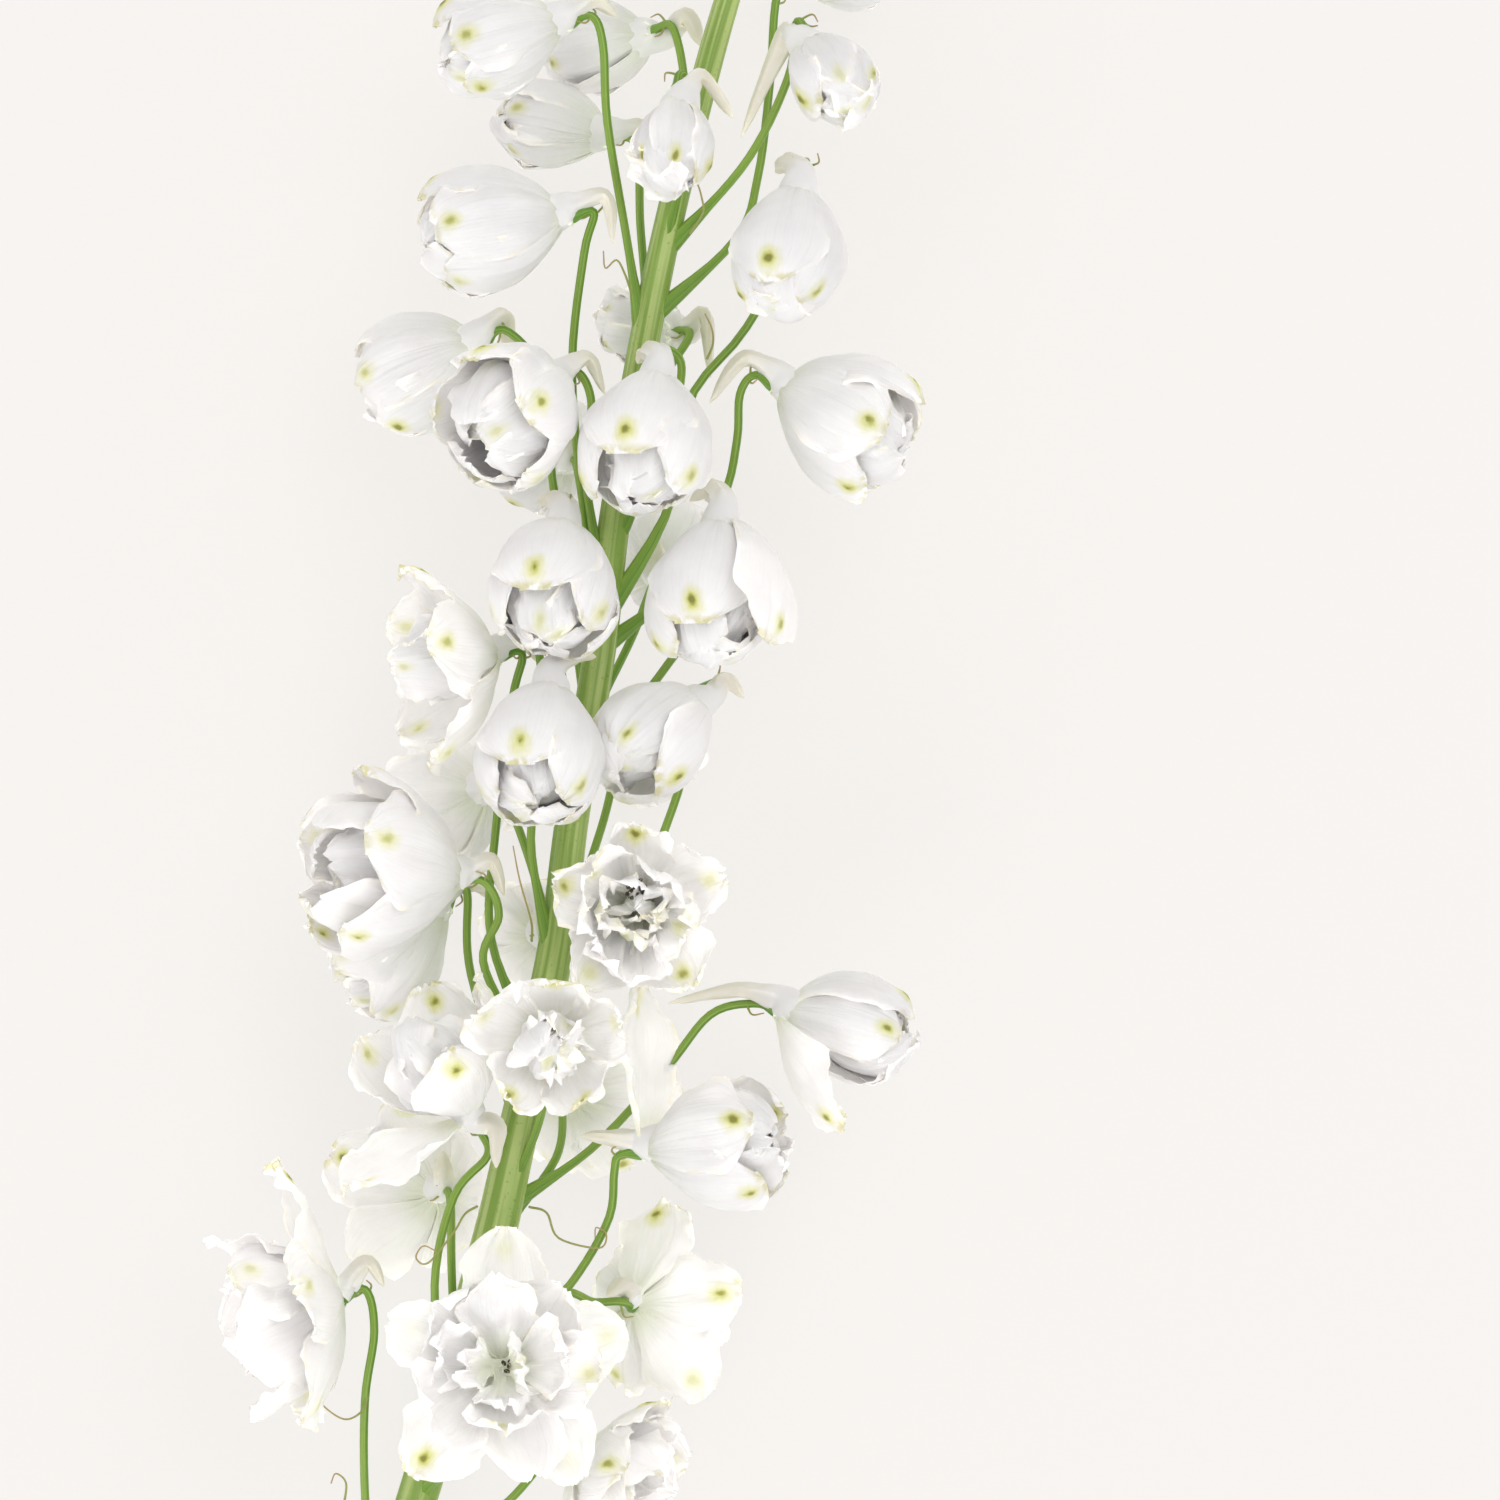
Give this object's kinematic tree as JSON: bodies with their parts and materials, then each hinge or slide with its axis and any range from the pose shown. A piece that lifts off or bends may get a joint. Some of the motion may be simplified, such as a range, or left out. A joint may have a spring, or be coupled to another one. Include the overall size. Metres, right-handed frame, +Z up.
{
  "type": "delphinium flower",
  "caption": "Cut spike of white semi-double delphinium lying on its back: spurred cups and open blooms on a green stem, with small buds towards the tip.",
  "frame": {"origin": "centre of the footprint of the lying spike, on the surface that it lies on", "axes": "+Y along the spike towards its tip, +Z up away from the surface, +X to the right"},
  "size_m": [0.1414, 0.4779, 0.0839],
  "materials": {
    "petal_white": "soft, thin, slightly translucent white petal with faint veins and yellow-green spots near its tip",
    "stem_green": "fresh light green stem with fine ridges, satin"
  },
  "bodies": {
    "root": {"bloom_back_left_low": "petal_white", "bloom_back_left_middle": "petal_white", "bloom_back_middle": "petal_white", "bloom_back_right_low": "petal_white", "bloom_back_right_middle": "petal_white", "bloom_back_right_upper": "petal_white", "bloom_back_upper": "petal_white", "bloom_centre_cup": "petal_white", "bloom_far_left_open": "petal_white", "bloom_front_cup": "petal_white", "bloom_front_cup_low": "petal_white", "bloom_front_double": "petal_white", "bloom_front_open": "petal_white", "bloom_left_behind": "petal_white", "bloom_left_cup": "petal_white", "bloom_left_double": "petal_white", "bloom_left_double_high": "petal_white", "bloom_left_double_low": "petal_white", "bloom_left_lower_cup": "petal_white", "bloom_left_open_cup": "petal_white", "bloom_right_bud_low": "petal_white", "bloom_right_cup": "petal_white", "bloom_right_cup_low": "petal_white", "bloom_right_double": "petal_white", "bloom_right_hanging": "petal_white", "bloom_right_hanging_low": "petal_white", "bloom_right_lowest": "petal_white", "bloom_right_open_cup": "petal_white", "bloom_right_turned_away": "petal_white", "bloom_second_left": "petal_white", "bloom_top_behind": "petal_white", "bloom_top_front": "petal_white", "bloom_top_left": "petal_white", "bloom_top_right": "petal_white", "bloom_top_right_behind": "petal_white", "bloom_upper_behind": "petal_white", "bud_01": "petal_white", "bud_02": "petal_white", "bud_03": "petal_white", "bud_04": "petal_white", "bud_05": "petal_white", "bud_06": "petal_white", "bud_07": "petal_white", "bud_08": "petal_white", "bud_09": "petal_white", "bud_10": "petal_white", "bud_11": "petal_white", "bud_12": "petal_white", "bud_13": "petal_white", "bud_14": "petal_white", "stem": "stem_green"}
  },
  "joints": []
}
